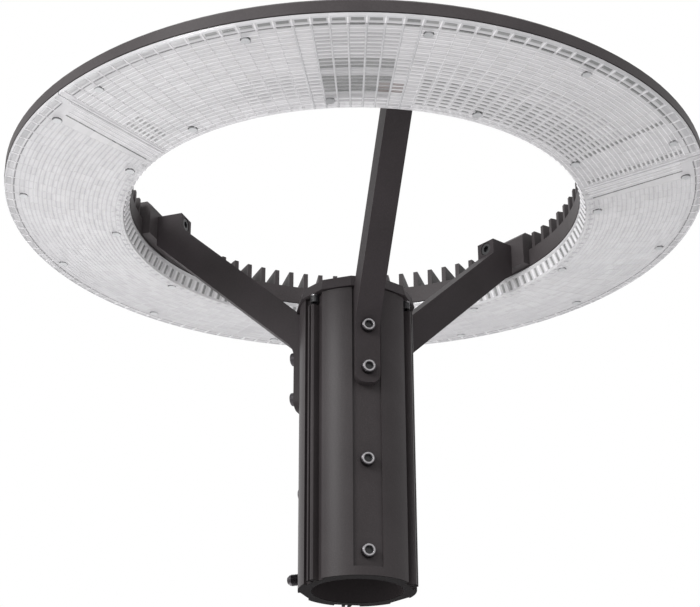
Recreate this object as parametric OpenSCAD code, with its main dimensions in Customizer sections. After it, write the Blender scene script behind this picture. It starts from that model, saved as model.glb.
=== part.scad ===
// Post-top ring lantern head: a slip-over collar for a pole tenon, three raking
// arms, a finned cast ring and three prismatic lens segments under it.
// Millimetres, +Z up. The origin is the middle of the collar's bottom rim, and
// the front arm points along -Y.

/* [Collar] */
// Outside diameter of the pole tenon that the collar slips over
tenon_d = 76; // [70:0.5:80]
// Gap between the tenon and the bore, all round
tenon_gap = 0.75; // [0.4:0.05:1]
// Wall between the bore and the collar's round outside
collar_wall = 11.25; // [10:0.25:14]
// Height of the collar
collar_h = 258; // [240:1:280]
// Depth of the socket that takes the tenon
socket_h = 125; // [110:1:140]
// Width of the shoulder that the tenon's end meets
shoulder_w = 3; // [1:0.5:5]

/* [Channels] */
// Depth of the flat channels for the arm feet, below the collar's outside
channel_depth = 3.6; // [2:0.1:5]
// Side clearance between an arm foot and its channel
channel_gap = 1.7; // [0.2:0.1:2]
// Height of the closed end under the front channel
channel_stop = 8; // [4:1:14]

/* [Screw ports] */
// Angle from an arm to the next screw port round the collar
port_angle = 60; // [57:1:63]
// Width of the flat-bottomed groove that each port lies in
groove_w = 22.6; // [20:0.2:25]
// Depth of that groove
groove_depth = 4.5; // [3.5:0.1:5.5]
// Width of the lug that stands in the groove and holds the port
lug_w = 8; // [7.2:0.2:10]
// How far the lug stands out past the collar
lug_out = 2.6; // [2:0.1:3.4]
// Chamfer along the lug's two outer corners
lug_chamfer = 1; // [0.4:0.1:1.4]
// Width of the slot along each screw port
port_slot = 2.2; // [1.5:0.1:3]
// Diameter of the round port behind the slot
port_d = 4.6; // [4:0.1:5]
// Depth of the slot in front of the round port
port_slot_l = 2.3; // [1.8:0.1:2.6]
// Depth of the pocket above each lug, for the cap screw's head
pocket_h = 10; // [8:0.5:14]

/* [Cap] */
// Number of flat sides round the cap
cap_sides = 12; // [12:12:36]
// How far the cap's corners stand out past the collar
cap_overhang = 3.2; // [2.8:0.1:5]
// Height of the cap's edge
cap_h = 10; // [7:0.1:13]
// Inward taper of the cap's edge over that height
cap_taper = 2.4; // [1:0.2:2.8]
// Rise of the cap's top above its edge
cap_dome = 4; // [2:0.5:8]
// Width of the slope round the cap's top
cap_slope_w = 10; // [5:0.5:20]
// Thickness of the gasket under the cap
cap_gasket_t = 0.8; // [0.5:0.1:1.5]

/* [Arms] */
// Width of an arm
arm_w = 21.6; // [19:0.2:24]
// Thickness of an arm, square to its length
arm_t = 28; // [22:0.5:32]
// Slope of an arm above the level, in degrees
arm_slope = 42; // [39:0.5:44]
// Thickness of the foot plate in the channel
foot_t = 8.6; // [7:0.2:11]
// Drop from the collar's top to the point where an arm leaves its foot
root_drop = 33; // [25:0.5:36]
// Length of the foot plate below that point
foot_l = 58; // [55:0.5:70]
// Radius of the knee between the foot and the underside of an arm
knee_r = 20; // [4:1:24]
// Corner radius of the foot plate
foot_r = 8; // [3:0.5:9]
// Radial length of the head that meets the ring
head_l = 25; // [20:1:30]
// Height of the head above the ring's deck
head_rise = 8; // [6:0.5:12]
// Metal left above the screw's counterbore in the head
head_edge = 1.5; // [1:0.5:5]
// Clearance between an arm and the cap
cap_clearance = 0.6; // [0.4:0.1:2]

/* [Ring] */
// Radius of the ring's outside
ring_r = 319; // [310:1:330]
// Radius of the ring's opening
hole_r = 206; // [200:1:210]
// Height of the deck's top above the collar's top
deck_rise = 116.5; // [110:0.5:120]
// Thickness of the cast deck
deck_t = 3.5; // [3:0.5:5]
// Thickness of the cast outer and inner walls
wall_t = 3.2; // [2.5:0.1:4]
// Height of the outer wall, from the rim to the deck's top
outer_wall_h = 12.9; // [11:0.1:16]
// Height of the inner wall, from the lip to the deck's top
inner_wall_h = 17.5; // [15:0.5:20]
// Chamfer along the deck's outer edge
rim_chamfer = 3; // [1:0.5:4]
// Width of the ledges that the lens gaskets lie on
ledge_w = 6; // [5:0.5:8]
// Thickness of those ledges
ledge_t = 2.4; // [2:0.2:3]

/* [Fins] */
// Thickness of a fin
fin_t = 4.4; // [3:0.1:5]
// Height of a fin at the ring's opening
fin_h = 16.5; // [10:0.5:24]
// Bare margin of the deck outside the fins
fin_margin = 35; // [20:1:60]
// Height left at a fin's outer end
fin_end_h = 10; // [2:0.5:14]
// Set-back of the fins from the edge of the opening
fin_setback = 0.4; // [0.2:0.1:2]
// Flat at the top of a fin, beside the opening
fin_flat = 3; // [1:0.5:10]
// Angle from one fin to the next
fin_angle = 4.283; // [4:0.001:4.4]
// Angle from an arm to the first fin beside it
fin_start_angle = 10; // [9.5:0.1:11]
// Extra angle left open in each bank of fins
fin_break_angle = 1.96; // [0:0.01:2.5]
// Fins before and after that break, counted round from an arm
fin_counts = [10, 14];

/* [Arm bosses] */
// Width of the boss that an arm head bolts to
boss_w = 54; // [46:1:58]
// How far the boss stands in from the ring's opening
boss_in = 10; // [6:0.5:14]
// Height of the boss above the deck
boss_rise = 17.5; // [12:0.5:22]
// Chamfer along the top of the boss
boss_chamfer = 4; // [1:0.5:6]

/* [Lens] */
// Drop from the casting's inner lip to the lens face's inner edge
lens_drop = 14.4; // [10:0.2:18]
// Drop from the underside of the lens flange to the face's outer edge
lens_step = 1.3; // [0.5:0.1:3]
// Thickness of the lens
lens_t = 3; // [2:0.1:4]
// Width of the lens's inner wall, from the ring's opening to the face
lens_lip_w = 6; // [5:0.5:9]
// Width of the lens flange, from the ring's outside to the face
flange_w = 8; // [7:0.5:12]
// Thickness of that flange
flange_t = 2.6; // [2:0.1:3]
// Radial gap from the flange's edges to the ring's outside and opening
flange_gap = 0.5; // [0.3:0.1:1]
// Gap between two lens segments
lens_seam = 0.8; // [0.4:0.1:2]
// Thickness of the gaskets between the lens and the ring
gasket_t = 0.8; // [0.5:0.1:1.2]
// Width of those gaskets
gasket_w = 3.6; // [2.5:0.1:4.5]

/* [Light engine] */
// Gap between two reflector plates
reflector_gap = 3; // [1:0.5:6]
// Thickness of the white reflector plates
reflector_t = 1.2; // [0.8:0.1:2]
// Thickness of the LED boards
board_t = 1.6; // [1:0.1:2.4]
// Clearance from an LED board's edges to the cast posts beside it
board_gap = 1.6; // [1:0.1:8]
// Angles from an arm to the ends of its two LED boards
board_angles = [[-56, -17], [-3, 56]];

/* [Screws] */
// Head diameter of the arm, tenon and head screws
head_d = 12; // [10:0.5:13]
// Head height of those screws
head_h = 6; // [4:0.5:8]
// Across flats of their hexagon sockets
hex_af = 6; // [4:0.5:7]
// Shank diameter of those screws
shank_d = 8; // [6:0.5:9]
// Gap round a shank in its hole
shank_gap = 0.2; // [0.1:0.05:0.3]
// Drops of the two screws in each arm foot, below the point where the arm leaves it
foot_screw_drops = [6.5, 45];
// Heights of the two tenon screws in the front and right channels
tenon_screw_z = [21, 100];
// Heights of the set screw and the tenon screw in the left channel
left_screw_z = [15, 90];
// Diameter of the long set screw low in the left channel
stud_d = 10; // [8:0.5:11]
// How far that set screw stands out of its channel
stud_out = 15.8; // [6:0.2:20]
// Chamfer at its outer end
stud_chamfer = 2; // [0.5:0.1:2.5]
// Head diameter of a cap screw
cap_screw_d = 8; // [7:0.2:9]
// Radius of the circle that the cap screws lie on, in from the collar's outside
cap_screw_inset = 2.8; // [2.6:0.1:4]
// Shank diameter of a cap screw
cap_shank_d = 3.4; // [3:0.1:3.6]
// Depth of the cap screws' holes in the cap
cap_hole_h = 6; // [4:0.5:6.5]
// Thickness of the washer on each cap screw
washer_t = 1.2; // [0.8:0.1:2]
// Head diameter of a lens screw
lens_head_d = 7.5; // [6:0.5:8.5]
// Shank diameter of a lens screw
lens_shank_d = 4; // [3:0.1:4.4]
// Diameter of the cast posts that take the lens screws
post_d = 8; // [7:0.5:9]
// Depth of the screw holes in those posts
post_hole_h = 7; // [6:0.5:8]
// Angles from an arm to its outer lens screws
outer_angles = [-54, -27, 0, 27, 54];
// Angles from an arm to its inner lens screws
inner_angles = [-48, -16, 16, 48];
// Inset of the lens screws from the lens face's edges
screw_inset = 9.5; // [9:0.5:12]
// Depth of the seats of the lens screws' heads in the lens face
seat_depth = 1; // [0.5:0.1:1.5]

/* [Hidden] */
$fn = 128;

front_angle = 0;
right_angle = 120;
left_angle = -120;
arm_angles = [front_angle, right_angle, left_angle];
eps = 0.01;

bore_r = tenon_d / 2 + tenon_gap;
collar_r = bore_r + collar_wall;
floor_r = collar_r - channel_depth;
channel_w = arm_w + 2 * channel_gap;
groove_r = collar_r - groove_depth;
lug_r = collar_r + lug_out;
port_r = lug_r - port_slot_l - port_d / 2;
cap_screw_r = collar_r - cap_screw_inset;
cap_z = collar_h + cap_gasket_t;
cap_r = collar_r + cap_overhang;
foot_face_r = floor_r + foot_t;
boss_r = hole_r - boss_in;
head_r = boss_r - head_l;
root_z = collar_h - root_drop;
foot_z = root_z - foot_l;
foot_screw_z = [for (drop = foot_screw_drops) root_z - drop];
deck_z = collar_h + deck_rise;
head_top = deck_z + head_rise;
head_screw_z = head_top - head_d / 2 - head_edge;
arm_drop = arm_t / cos(arm_slope);
knee_x = foot_face_r + knee_r;
knee_z = root_z + knee_r * (tan(arm_slope) - 1 / cos(arm_slope));
rim_z = deck_z - outer_wall_h;
lip_z = deck_z - inner_wall_h;
shelf_z = deck_z - deck_t;
board_z = shelf_z - reflector_t - board_t;
lens_in_r = hole_r + lens_lip_w;
lens_out_r = ring_r - flange_w;
lens_z = lip_z - gasket_t - lens_drop;
lens_out_z = rim_z - gasket_t - flange_t - lens_step;
lens_slope = atan((lens_out_z - lens_z) / (lens_out_r - lens_in_r));
screw_in_r = lens_in_r + screw_inset;
screw_out_r = lens_out_r - screw_inset;
board_in_r = screw_in_r + post_d / 2 + board_gap;
board_out_r = screw_out_r - post_d / 2 - board_gap;
fin_end_r = ring_r - fin_margin;

// Height of the lens face at radius r
function lens_face(r) = lens_z + (r - lens_in_r) * tan(lens_slope);
// Height of an arm's underside at radius r
function arm_under(r) = root_z + (r - foot_face_r) * tan(arm_slope);
// Heights of the tenon screws in the channel at the given angle
function screw_heights(turn) = turn == left_angle ? left_screw_z : tenon_screw_z;

// Turns children that are built along +X to face round the lantern
module facing(turn) {
    rotate([0, 0, turn - 90]) children();
}

// A plate of the given width, from an outline of radius and height
module radial_plate(width) {
    rotate([90, 0, 0]) linear_extrude(width, center = true) children();
}

// A radial cylinder from radius r0 to r1 at height z
module radial_rod(d, r0, r1, z) {
    translate([r0, 0, z]) rotate([0, 90, 0]) cylinder(d = d, h = r1 - r0);
}

// A socket-head screw that points inwards, its head seated at radius seat
module radial_screw(seat, tip, z) {
    difference() {
        union() {
            radial_rod(shank_d, tip, seat + eps, z);
            radial_rod(head_d, seat, seat + head_h, z);
        }
        translate([seat + head_h / 2, 0, z]) rotate([0, 90, 0])
            cylinder(d = hex_af / cos(30), h = head_h, $fn = 6);
    }
}

// ---- collar

module channel(turn, bottom) {
    facing(turn) translate([floor_r, -channel_w / 2, bottom])
        cube([collar_r, channel_w, collar_h]);
}

module groove(turn) {
    facing(turn) translate([groove_r, -groove_w / 2, -1])
        cube([collar_r, groove_w, collar_h + 2]);
}

// Lug with its screw port: a round hole and the slot that opens it outwards
module port_lug(turn) {
    half = lug_w / 2;
    edge = half - lug_chamfer;
    facing(turn) difference() {
        linear_extrude(collar_h - pocket_h) polygon([
            [groove_r - 1, -half], [lug_r - lug_chamfer, -half], [lug_r, -edge],
            [lug_r, edge], [lug_r - lug_chamfer, half], [groove_r - 1, half]
        ]);
        translate([port_r, 0, -1]) cylinder(d = port_d, h = collar_h);
        translate([port_r, -port_slot / 2, -1]) cube([collar_r, port_slot, collar_h]);
    }
}

// Room above a lug for the cap screw's head
module screw_pocket(turn) {
    facing(turn) translate([cap_screw_r, 0, collar_h - pocket_h])
        cylinder(d = cap_screw_d + 1, h = pocket_h + 1);
}

module slip_collar() {
    color("dimgray") difference() {
        union() {
            difference() {
                cylinder(r = collar_r, h = collar_h);
                for (turn = arm_angles) groove(turn + port_angle);
            }
            for (turn = arm_angles) port_lug(turn + port_angle);
        }
        translate([0, 0, -1]) cylinder(r = bore_r, h = socket_h + 1);
        translate([0, 0, -1]) cylinder(r = bore_r - shoulder_w, h = collar_h + 2);
        channel(front_angle, channel_stop);
        for (turn = [right_angle, left_angle]) channel(turn, -1);
        for (turn = arm_angles) {
            screw_pocket(turn + port_angle);
            facing(turn) for (z = concat(foot_screw_z, screw_heights(turn)[1]))
                radial_rod(shank_d + 2 * shank_gap, bore_r - 2 * shoulder_w, collar_r, z);
            facing(turn) radial_rod(
                (turn == left_angle ? stud_d : shank_d) + 2 * shank_gap,
                bore_r - 2 * shoulder_w, collar_r, screw_heights(turn)[0]);
        }
    }
}

// Tenon screws at the given heights, and a long set screw where stud_z is given
module tenon_screws(turn, heights, stud_z = 0) {
    color("silver") facing(turn) {
        for (z = heights) radial_screw(floor_r, bore_r + shank_gap, z);
        if (stud_z > 0) translate([0, 0, stud_z]) rotate([0, 90, 0]) {
            end_r = floor_r + stud_out;
            translate([0, 0, bore_r + shank_gap])
                cylinder(d = stud_d, h = end_r - stud_chamfer - bore_r - shank_gap);
            translate([0, 0, end_r - stud_chamfer - eps])
                cylinder(r1 = stud_d / 2, r2 = stud_d / 2 - stud_chamfer, h = stud_chamfer);
        }
    }
}

// ---- cap

module collar_cap() {
    top_r = cap_r - cap_taper;
    color("dimgray") difference() {
        union() {
            rotate([0, 0, 180 / cap_sides]) translate([0, 0, cap_z])
                cylinder(r1 = cap_r, r2 = top_r, h = cap_h, $fn = cap_sides);
            rotate([0, 0, 180 / cap_sides]) translate([0, 0, cap_z + cap_h - eps])
                cylinder(r1 = top_r - 1, r2 = top_r - 1 - cap_slope_w, h = cap_dome,
                    $fn = cap_sides);
        }
        for (turn = arm_angles)
            facing(turn + port_angle) translate([cap_screw_r, 0, cap_z - 1])
                cylinder(d = cap_shank_d + 2 * shank_gap, h = cap_hole_h + 1);
    }
}

module cap_gasket() {
    color("black") translate([0, 0, collar_h]) difference() {
        cylinder(r = groove_r - 0.5, h = cap_gasket_t);
        translate([0, 0, -1]) cylinder(r = bore_r - shoulder_w, h = cap_gasket_t + 2);
        for (turn = arm_angles) facing(turn + port_angle) translate([cap_screw_r, 0, -1])
            cylinder(d = cap_screw_d + 1, h = cap_gasket_t + 2);
    }
}

module cap_screws() {
    color("black") for (turn = arm_angles) facing(turn + port_angle)
        translate([cap_screw_r, 0, cap_z - washer_t - head_h]) difference() {
            union() {
                cylinder(d = cap_screw_d, h = head_h);
                cylinder(d = cap_shank_d, h = head_h + washer_t + cap_hole_h - 0.5);
            }
            translate([0, 0, -eps]) cylinder(d = hex_af * 0.8, h = head_h / 2, $fn = 6);
        }
}

module cap_washers() {
    color("silver") for (turn = arm_angles) facing(turn + port_angle)
        translate([cap_screw_r, 0, cap_z - washer_t]) difference() {
            cylinder(d = cap_screw_d, h = washer_t);
            translate([0, 0, -1])
                cylinder(d = cap_shank_d + 2 * shank_gap, h = washer_t + 2);
        }
}

// ---- arms

// Side view of an arm: foot plate, raking bar and head
module arm_outline() {
    top_r = cap_r * cos(180 / cap_sides) + cap_clearance;
    foot_top = collar_h - cap_clearance;
    polygon([
        [floor_r, foot_z], [foot_face_r, foot_z], [foot_face_r, knee_z],
        [knee_x - knee_r * sin(arm_slope), knee_z + knee_r * cos(arm_slope)],
        [boss_r, arm_under(boss_r)], [boss_r, head_top], [head_r, head_top],
        [head_r, arm_under(head_r) + arm_drop], [top_r, arm_under(top_r) + arm_drop],
        [top_r, foot_top], [floor_r, foot_top]
    ]);
}

// Square corner piece with its inner corner rounded off
module corner_cut(r) {
    difference() {
        square(r + 1);
        circle(r);
    }
}

module arm(turn) {
    color("dimgray") facing(turn) difference() {
        radial_plate(arm_w) arm_outline();
        translate([knee_x, 0, knee_z]) rotate([90, 0, 0])
            cylinder(r = knee_r, h = arm_w + 2, center = true);
        for (side = [-1, 1])
            translate([0, side * (arm_w / 2 - foot_r), foot_z + foot_r])
                rotate([0, 90, 0]) linear_extrude(foot_face_r + 1)
                    rotate(side > 0 ? 0 : -90) corner_cut(foot_r);
        for (z = foot_screw_z)
            radial_rod(shank_d + 2 * shank_gap, floor_r - 1, foot_face_r + 1, z);
        radial_rod(head_d + 1, foot_face_r, foot_face_r + knee_r, foot_screw_z[0]);
        radial_rod(shank_d + 2 * shank_gap, head_r - 1, boss_r + 1, head_screw_z);
        radial_rod(head_d + 1, head_r - 1, head_r + head_h + 0.5, head_screw_z);
    }
}

module foot_screws(turn) {
    color("silver") facing(turn) for (z = foot_screw_z)
        radial_screw(foot_face_r, bore_r - shoulder_w, z);
}

module head_screw(turn) {
    seat = head_r + head_h + 0.5;
    color("silver") facing(turn) difference() {
        union() {
            radial_rod(shank_d, seat - eps, hole_r + wall_t + 4, head_screw_z);
            radial_rod(head_d, seat - head_h, seat, head_screw_z);
        }
        translate([seat - head_h - eps, 0, head_screw_z]) rotate([0, 90, 0])
            cylinder(d = hex_af / cos(30), h = head_h / 2, $fn = 6);
    }
}

// ---- ring

// Section of the ring's deck, walls and ledges, as radius and height
module ring_section() {
    polygon([
        [ring_r, rim_z], [ring_r, deck_z - rim_chamfer], [ring_r - rim_chamfer, deck_z],
        [hole_r, deck_z], [hole_r, lip_z], [hole_r + ledge_w, lip_z],
        [hole_r + ledge_w, lip_z + ledge_t], [hole_r + wall_t, lip_z + ledge_t],
        [hole_r + wall_t, shelf_z], [ring_r - wall_t, shelf_z],
        [ring_r - wall_t, rim_z + ledge_t], [ring_r - ledge_w, rim_z + ledge_t],
        [ring_r - ledge_w, rim_z]
    ]);
}

module fin(turn) {
    r0 = hole_r + fin_setback;
    facing(turn) radial_plate(fin_t) polygon([
        [r0, deck_z - deck_t / 2], [r0, deck_z + fin_h], [r0 + fin_flat, deck_z + fin_h],
        [fin_end_r, deck_z + fin_end_h], [fin_end_r, deck_z - deck_t / 2]
    ]);
}

module arm_boss() {
    radial_plate(boss_w) polygon([
        [boss_r, lip_z + 1], [boss_r, deck_z + boss_rise - boss_chamfer],
        [boss_r + boss_chamfer, deck_z + boss_rise],
        [hole_r + 7, deck_z + boss_rise], [hole_r + 7, deck_z - 1],
        [hole_r + wall_t - 1, deck_z - 1], [hole_r + wall_t - 1, lip_z + 1]
    ]);
}

module lens_post(r, turn) {
    z = lens_face(r) + lens_t + 0.3;
    facing(turn) translate([r, 0, z]) cylinder(d = post_d, h = shelf_z - z + 1);
}

module ring_casting() {
    color("dimgray") difference() {
        union() {
            rotate_extrude($fn = 256) ring_section();
            for (turn = arm_angles) {
                facing(turn) arm_boss();
                for (i = [0 : fin_counts[0] - 1])
                    fin(turn + fin_start_angle + i * fin_angle);
                for (i = [0 : fin_counts[1] - 1])
                    fin(turn + fin_start_angle + fin_break_angle + (fin_counts[0] + i) * fin_angle);
                for (t = inner_angles) lens_post(screw_in_r, turn + t);
                for (t = outer_angles) lens_post(screw_out_r, turn + t);
            }
        }
        for (turn = arm_angles) {
            facing(turn) radial_rod(shank_d + 2 * shank_gap, boss_r - 1,
                hole_r + wall_t + 5, head_screw_z);
            for (t = inner_angles) screw_hole(screw_in_r, turn + t);
            for (t = outer_angles) screw_hole(screw_out_r, turn + t);
        }
    }
}

module screw_hole(r, turn) {
    facing(turn) translate([r, 0, lens_face(r)])
        cylinder(d = lens_shank_d + 2 * shank_gap, h = lens_t + post_hole_h);
}

// ---- lens, its gaskets and screws

module gasket_ring(r, z) {
    color("black") translate([0, 0, z]) difference() {
        cylinder(r = r + gasket_w, h = gasket_t, $fn = 256);
        translate([0, 0, -1]) cylinder(r = r, h = gasket_t + 2, $fn = 256);
    }
}

module lens_section() {
    flange_r = ring_r - flange_gap;
    inner_r = hole_r + flange_gap;
    flange_z = rim_z - gasket_t;
    lip_top = lip_z - gasket_t;
    skin = lens_t / cos(lens_slope);
    polygon([
        [flange_r, flange_z], [flange_r, flange_z - flange_t],
        [lens_out_r, lens_face(lens_out_r)], [lens_in_r, lens_face(lens_in_r)],
        [inner_r, lip_top - lens_t / 2], [inner_r, lip_top], [hole_r + ledge_w, lip_top],
        [lens_in_r + lens_t, lens_face(lens_in_r + lens_t) + skin],
        [lens_out_r - lens_t, lens_face(lens_out_r - lens_t) + skin],
        [ring_r - ledge_w, flange_z]
    ]);
}

module lens(turn) {
    half_seam = lens_seam / 2 / lens_in_r * 180 / PI;
    color("gainsboro", 0.5) difference() {
        rotate([0, 0, turn - 150 + half_seam])
            rotate_extrude(angle = 120 - 2 * half_seam, $fn = 256) lens_section();
        for (t = inner_angles) lens_seat(screw_in_r, turn + t);
        for (t = outer_angles) lens_seat(screw_out_r, turn + t);
    }
}

module lens_seat(r, turn) {
    facing(turn) translate([r, 0, lens_face(r)]) {
        translate([0, 0, seat_depth - 5]) cylinder(d = lens_head_d + 1, h = 5);
        cylinder(d = lens_shank_d + 2 * shank_gap, h = lens_t + 5);
    }
}

module lens_screw(r, turn) {
    facing(turn) translate([r, 0, lens_face(r) + seat_depth]) {
        translate([0, 0, -2]) cylinder(d = lens_head_d, h = 2);
        translate([0, 0, -eps]) cylinder(d = lens_shank_d, h = lens_t + post_hole_h - 2 * seat_depth);
    }
}

module lens_screws(turn) {
    color("silver") {
        for (t = inner_angles) lens_screw(screw_in_r, turn + t);
        for (t = outer_angles) lens_screw(screw_out_r, turn + t);
    }
}

// ---- light engine

module ring_sector(r0, r1, a0, a1, t) {
    rotate([0, 0, a0 - 90]) rotate_extrude(angle = a1 - a0, $fn = 256)
        translate([r0, 0]) square([r1 - r0, t]);
}

module reflector(turn) {
    color("white") difference() {
        translate([0, 0, shelf_z - reflector_t])
            ring_sector(hole_r + ledge_w + 1, ring_r - ledge_w - 1,
                turn - 60 + reflector_gap / 2 / lens_in_r * 180 / PI,
                turn + 60 - reflector_gap / 2 / lens_in_r * 180 / PI, reflector_t);
        for (t = inner_angles) post_clearance(screw_in_r, turn + t);
        for (t = outer_angles) post_clearance(screw_out_r, turn + t);
    }
}

module post_clearance(r, turn) {
    facing(turn) translate([r, 0, shelf_z - reflector_t - 1])
        cylinder(d = post_d + 1, h = reflector_t + 2);
}

module led_boards(turn) {
    color("whitesmoke") translate([0, 0, board_z])
        for (span = board_angles)
            ring_sector(board_in_r, board_out_r, turn + span[0], turn + span[1], board_t);
}

slip_collar();
collar_cap();
cap_gasket();
cap_screws();
cap_washers();
arm(front_angle);  // arm_front
arm(right_angle);  // arm_right
arm(left_angle);  // arm_left
foot_screws(front_angle);  // foot_screws_front
foot_screws(right_angle);  // foot_screws_right
foot_screws(left_angle);  // foot_screws_left
tenon_screws(front_angle, tenon_screw_z);  // tenon_screws_front
tenon_screws(right_angle, tenon_screw_z);  // tenon_screws_right
tenon_screws(left_angle, [left_screw_z[1]], left_screw_z[0]);  // tenon_screws_left
ring_casting();
head_screw(front_angle);  // head_screw_front
head_screw(right_angle);  // head_screw_right
head_screw(left_angle);  // head_screw_left
gasket_ring(ring_r - ledge_w + 1, rim_z - gasket_t);  // outer_gasket
gasket_ring(hole_r + 1, lip_z - gasket_t);  // inner_gasket
lens(front_angle);  // lens_front
lens(right_angle);  // lens_right
lens(left_angle);  // lens_left
lens_screws(front_angle);  // lens_screws_front
lens_screws(right_angle);  // lens_screws_right
lens_screws(left_angle);  // lens_screws_left
reflector(front_angle);  // reflector_front
reflector(right_angle);  // reflector_right
reflector(left_angle);  // reflector_left
led_boards(front_angle);  // led_boards_front
led_boards(right_angle);  // led_boards_right
led_boards(left_angle);  // led_boards_left
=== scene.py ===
# %% [markdown]
# # A post-top ring street lamp head
# The lamp head is a slip-over collar with a twelve-sided cap, three raking
# arms and a finned cast ring with a clear prismatic lens under it. Its solids
# come packed, in metres, as the frame. This script gives every solid a
# finish, adds the moulded and machined detail that was too fine for the
# solids, and sets up a plain studio.

# %% Load the frame
import math

import bmesh
import bpy
from mathutils import Matrix, Vector


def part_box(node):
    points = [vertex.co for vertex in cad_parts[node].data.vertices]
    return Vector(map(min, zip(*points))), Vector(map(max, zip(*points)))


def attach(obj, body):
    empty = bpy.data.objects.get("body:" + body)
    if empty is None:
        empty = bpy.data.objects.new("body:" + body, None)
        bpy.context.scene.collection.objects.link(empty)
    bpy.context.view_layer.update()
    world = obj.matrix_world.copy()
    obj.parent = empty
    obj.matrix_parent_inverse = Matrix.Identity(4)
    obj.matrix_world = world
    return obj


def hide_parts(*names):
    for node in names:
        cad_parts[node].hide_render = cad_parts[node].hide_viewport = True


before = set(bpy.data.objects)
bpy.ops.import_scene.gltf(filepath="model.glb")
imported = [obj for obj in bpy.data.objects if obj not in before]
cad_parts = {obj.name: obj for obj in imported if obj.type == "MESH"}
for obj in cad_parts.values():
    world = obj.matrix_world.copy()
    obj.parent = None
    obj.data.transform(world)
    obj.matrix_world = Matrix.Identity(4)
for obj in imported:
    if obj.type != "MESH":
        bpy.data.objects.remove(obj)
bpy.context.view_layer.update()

# %% [markdown]
# ## Places and sizes
# The ring is round about the collar's axis, and the arms stand 120 degrees
# apart, the front one towards -Y, each with a third of the lens under it.
# Places could be typed in as numbers, but here they come from the frame's own
# boxes, so a piece follows the solids if they change.

# %% Main sizes, in metres
MM = 0.001
RING_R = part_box("ring_casting")[1].x
inner_low, inner_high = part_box("inner_gasket")
GASKET_REACH = 4.6 * MM  # from the opening to the inner gasket's outer edge
OPENING_R = inner_high.y - GASKET_REACH
print("ring radius", round(RING_R, 4), "opening radius", round(OPENING_R, 4))

# %% Arms and lens segments, in degrees
ARM_ANGLES = {"front": 0, "right": 120, "left": -120}  # from the front arm
SIDES = tuple(ARM_ANGLES)
SEGMENT = 120  # span of a lens segment
FRONT_HEADING = -90  # direction of the front arm, from +X
print("segments:", ", ".join(SIDES))

# %% The lens's underside: a sloping face with a flange round it
FLANGE_WIDTH, FLANGE_GAP = 8 * MM, 0.5 * MM
FLANGE_STEP = 1.3 * MM  # from the face's outer edge up to the flange
FACE_DROP = 3.9 * MM  # from the outer gasket down to the face: the flange and its step
LIP_WIDTH = 6 * MM
FACE_IN_R = OPENING_R + LIP_WIDTH
FACE_OUT_R = RING_R - FLANGE_WIDTH
FLANGE_R = RING_R - FLANGE_GAP
FACE_IN_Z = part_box("lens_front")[0].z
FACE_OUT_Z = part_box("outer_gasket")[0].z - FACE_DROP
FACE_SLOPE = (FACE_OUT_Z - FACE_IN_Z) / (FACE_OUT_R - FACE_IN_R)
FLANGE_SLOPE = FLANGE_STEP / (FLANGE_R - FACE_OUT_R)


def face_z(radius):
    """Height of the lens face at a radius, and of the flange's underside beyond it."""
    if radius > FACE_OUT_R:
        return FACE_OUT_Z + (radius - FACE_OUT_R) * FLANGE_SLOPE
    return FACE_IN_Z + (radius - FACE_IN_R) * FACE_SLOPE


print("lens face rises", round(math.degrees(math.atan(FACE_SLOPE)), 2), "degrees")

# %% [markdown]
# ## The camera
# The lamp is seen as a passer-by sees it: from below and a little to the left
# of the front arm, with a long lens. A Track To constraint could aim the
# camera, but it can't give a small roll, so the camera's three axes are
# written out from a heading, a pitch and a roll.

# %% Camera
CAMERA_TURN = math.radians(-11)  # round the collar's axis, from the front arm
CAMERA_AWAY, CAMERA_DROP = 1.3938, -0.3751  # metres out from the axis, and height
HEADING, PITCH, ROLL = (math.radians(a) for a in (-0.20, 24.67, -0.31))
FOCAL_LENGTH = 87.47  # millimetres

heading = HEADING - CAMERA_TURN
forward = Vector((math.sin(heading) * math.cos(PITCH),
                  math.cos(heading) * math.cos(PITCH), math.sin(PITCH)))
right = forward.cross(Vector((0, 0, 1))).normalized()
up = right.cross(forward)
right, up = (right * math.cos(ROLL) + up * math.sin(ROLL),
             up * math.cos(ROLL) - right * math.sin(ROLL))
camera = bpy.data.objects.new("camera", bpy.data.cameras.new("camera"))
bpy.context.scene.collection.objects.link(camera)
camera.matrix_world = Matrix.Translation(
    (CAMERA_AWAY * math.sin(CAMERA_TURN), -CAMERA_AWAY * math.cos(CAMERA_TURN), CAMERA_DROP)
) @ Matrix((right, up, -forward)).transposed().to_4x4()
camera.data.lens = FOCAL_LENGTH
camera.data.clip_end = 50
bpy.context.scene.camera = camera
print("camera at", tuple(round(v, 3) for v in camera.matrix_world.translation))

# %% [markdown]
# ## Helpers for materials
# A finish is a small tree of nodes. It could be drawn in the node editor, but
# written out it can be read, and made again for the next finish. One function
# adds a node, sets its properties and sockets, and joins what is given as a
# link. Colours are written as sRGB hex values and turned to linear light in
# one place.

# %% Colour helper


def linear(hex_colour):
    """An sRGB hex colour as linear RGBA."""
    channels = [int(hex_colour[i:i + 2], 16) / 255 for i in (1, 3, 5)]
    return [c / 12.92 if c < 0.04045 else ((c + 0.055) / 1.055) ** 2.4
            for c in channels] + [1.0]


print("middle grey in linear light:", round(linear("#808080")[0], 3))

# %% Node helpers


def add(tree, kind, sockets=None, **settings):
    """Adds a node. A socket's value is a plain value, or a socket to link from."""
    made = tree.nodes.new(kind)
    for name, value in settings.items():
        setattr(made, name, value)
    for key, value in (sockets or {}).items():
        if isinstance(value, bpy.types.NodeSocket):
            tree.links.new(value, made.inputs[key])
        else:
            made.inputs[key].default_value = value
    return made


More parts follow.
